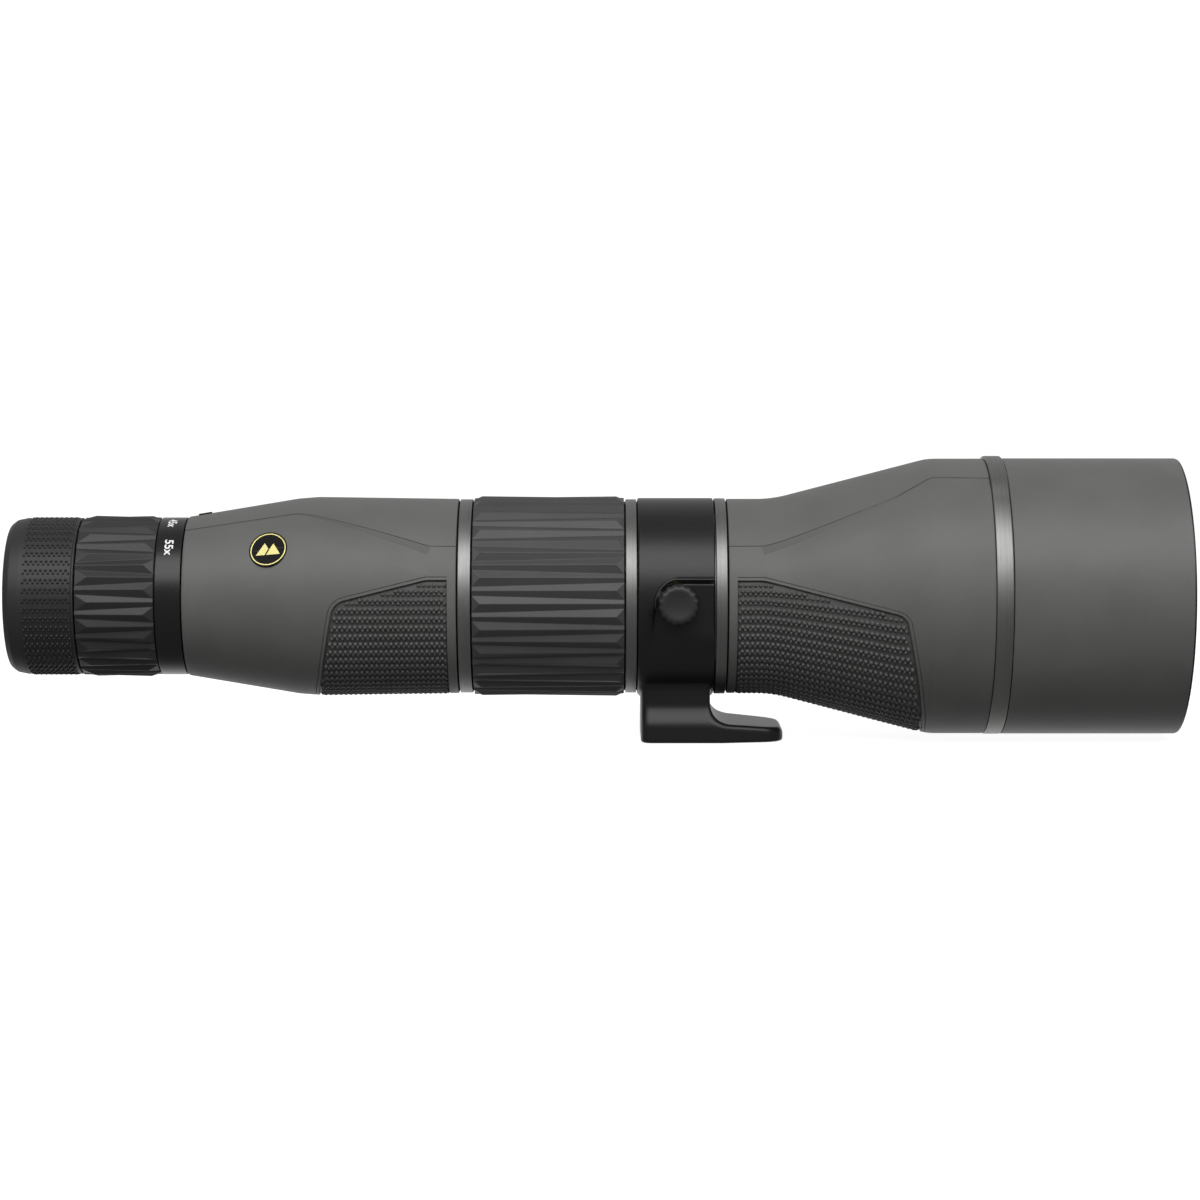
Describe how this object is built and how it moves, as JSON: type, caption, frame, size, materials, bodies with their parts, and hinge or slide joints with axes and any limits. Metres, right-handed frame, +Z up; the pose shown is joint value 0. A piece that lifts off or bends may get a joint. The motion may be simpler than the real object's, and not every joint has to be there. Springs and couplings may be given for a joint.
{
  "type": "spotting scope",
  "caption": "Straight-through zoom spotting scope with rubber armor, sliding sunshade, turning focus and zoom rings, twist-up eyecup and a rotating tripod collar with a lock knob.",
  "frame": {"origin": "centre of the mouth of the tripod socket, on the bottom face of the foot", "axes": "+X along the optical axis toward the objective, +Z up from the foot to the optical axis, the lock knob on the -Y side"},
  "size_m": [0.4215, 0.1002, 0.1016],
  "materials": {
    "grey_armor": "fine matte rubber armor",
    "grip_rubber": "studded matte rubber",
    "ribbed_rubber": "ribbed satin rubber",
    "eyecup_rubber": "soft dimpled rubber",
    "hood_paint": "matte grey coat",
    "black_coat": "satin black coat",
    "satin_silver": "brushed satin",
    "gloss_black": "glossy black with white graduation",
    "gold": "polished rim",
    "tube_alloy": "machined",
    "black_alloy": "black anodised",
    "bearing_plastic": "low friction plastic",
    "black_flock": "light-absorbing flock",
    "steel": "plain",
    "bronze": "plain bushing",
    "coated_glass": "multi-coated",
    "prism_glass": "polished"
  },
  "bodies": {
    "scope_body": {"mid_tube": "tube_alloy", "accent_ring_rear": "satin_silver", "accent_ring_middle": "satin_silver", "accent_ring_front": "satin_silver", "rear_housing": "tube_alloy", "rear_armor": "grey_armor", "rear_grip_pad": "grip_rubber", "index_mark": "gloss_black", "badge_disc": "gloss_black", "badge_rim": "gold", "prism_carrier": "black_alloy", "prism_front": "prism_glass", "prism_rear": "prism_glass", "prism_screws": "steel", "eyepiece_body": "black_alloy", "flange_screws": "steel", "guide_tube": "black_alloy", "zoom_retaining_ring": "black_alloy", "eye_lens_cell": "black_alloy", "eye_lens": "coated_glass", "eyecup_pins": "steel", "front_housing": "tube_alloy", "front_armor": "grey_armor", "front_grip_pad": "grip_rubber", "baffle_rings": "black_alloy", "objective_barrel": "black_alloy", "name_ring": "satin_silver", "objective_cell": "black_alloy", "rear_objective_lens": "coated_glass", "front_lens": "coated_glass", "objective_retaining_ring": "black_alloy", "sunshade_glide_ring": "bearing_plastic"},
    "sunshade": {"sunshade_tube": "hood_paint", "sunshade_liner": "black_flock"},
    "focus_ring": {"focus_ring_core": "black_alloy", "focus_grip": "ribbed_rubber"},
    "focus_cell": {"focus_cell": "black_alloy", "focus_pins": "steel", "focus_lens": "coated_glass"},
    "zoom_ring": {"zoom_ring_core": "black_alloy", "zoom_grip": "ribbed_rubber", "zoom_scale_ring": "gloss_black", "zoom_cam_tube": "black_alloy", "zoom_drive_pin": "steel"},
    "zoom_front_cell": {"zoom_front_cell": "black_alloy", "zoom_front_pins": "steel", "zoom_front_lens": "coated_glass"},
    "zoom_rear_cell": {"zoom_rear_cell": "black_alloy", "zoom_rear_pins": "steel", "zoom_rear_lens": "coated_glass"},
    "eyecup_click_ring": {"eyecup_click_ring": "bearing_plastic"},
    "eyecup": {"eyecup_sleeve": "bearing_plastic", "eyecup_rubber": "eyecup_rubber"},
    "tripod_collar": {"tripod_collar": "black_coat", "collar_liner": "bearing_plastic", "socket_insert": "steel", "lock_bushing": "bronze"},
    "brake_shoe": {"brake_shoe": "bearing_plastic"},
    "lock_knob": {"lock_knob": "black_coat", "lock_screw": "steel"}
  },
  "joints": [
    {"name": "sunshade_slide", "type": "slide", "parent": "scope_body", "child": "sunshade", "axis": [1, 0, 0], "range_m": [0, 0.032]},
    {"name": "focus_turn", "type": "hinge", "parent": "scope_body", "child": "focus_ring", "pos_m": [-0.0456, 0, 0.0515], "axis": [1, 0, 0], "range_deg": [-135, 135]},
    {"name": "focus_travel", "type": "slide", "parent": "scope_body", "child": "focus_cell", "axis": [1, 0, 0], "range_m": [-0.00563, 0.00563]},
    {"name": "zoom_turn", "type": "hinge", "parent": "scope_body", "child": "zoom_ring", "pos_m": [-0.1955, 0, 0.0515], "axis": [1, 0, 0], "range_deg": [-48, 72]},
    {"name": "zoom_front_travel", "type": "slide", "parent": "scope_body", "child": "zoom_front_cell", "axis": [1, 0, 0], "range_m": [-0.0084, 0.0056]},
    {"name": "zoom_rear_travel", "type": "slide", "parent": "scope_body", "child": "zoom_rear_cell", "axis": [1, 0, 0], "range_m": [-0.0028, 0.0042]},
    {"name": "eyecup_rise", "type": "slide", "parent": "scope_body", "child": "eyecup_click_ring", "axis": [-1, 0, 0], "range_m": [0, 0.012]},
    {"name": "eyecup_turn", "type": "hinge", "parent": "eyecup_click_ring", "child": "eyecup", "pos_m": [-0.228, 0, 0.0515], "axis": [-1, 0, 0], "range_deg": [0, 270]},
    {"name": "collar_turn", "type": "hinge", "parent": "scope_body", "child": "tripod_collar", "pos_m": [0, 0, 0.0515], "axis": [1, 0, 0], "continuous": true},
    {"name": "brake_travel", "type": "slide", "parent": "tripod_collar", "child": "brake_shoe", "axis": [0, -1, 0], "range_m": [0, 0.000501]},
    {"name": "lock_turn", "type": "hinge", "parent": "brake_shoe", "child": "lock_knob", "pos_m": [0.0005, -0.038, 0.0515], "axis": [0, -1, 0], "range_deg": [0, 180]}
  ],
  "couplings": [
    {"joint": "focus_travel", "follows": "focus_turn", "m_per_rad": -0.0023873},
    {"joint": "zoom_front_travel", "follows": "zoom_turn", "m_per_rad": -0.0066845},
    {"joint": "zoom_rear_travel", "follows": "zoom_turn", "m_per_rad": 0.0033423},
    {"joint": "eyecup_rise", "follows": "eyecup_turn", "m_per_rad": 0.0025465},
    {"joint": "brake_travel", "follows": "lock_turn", "m_per_rad": 0.00015915}
  ]
}
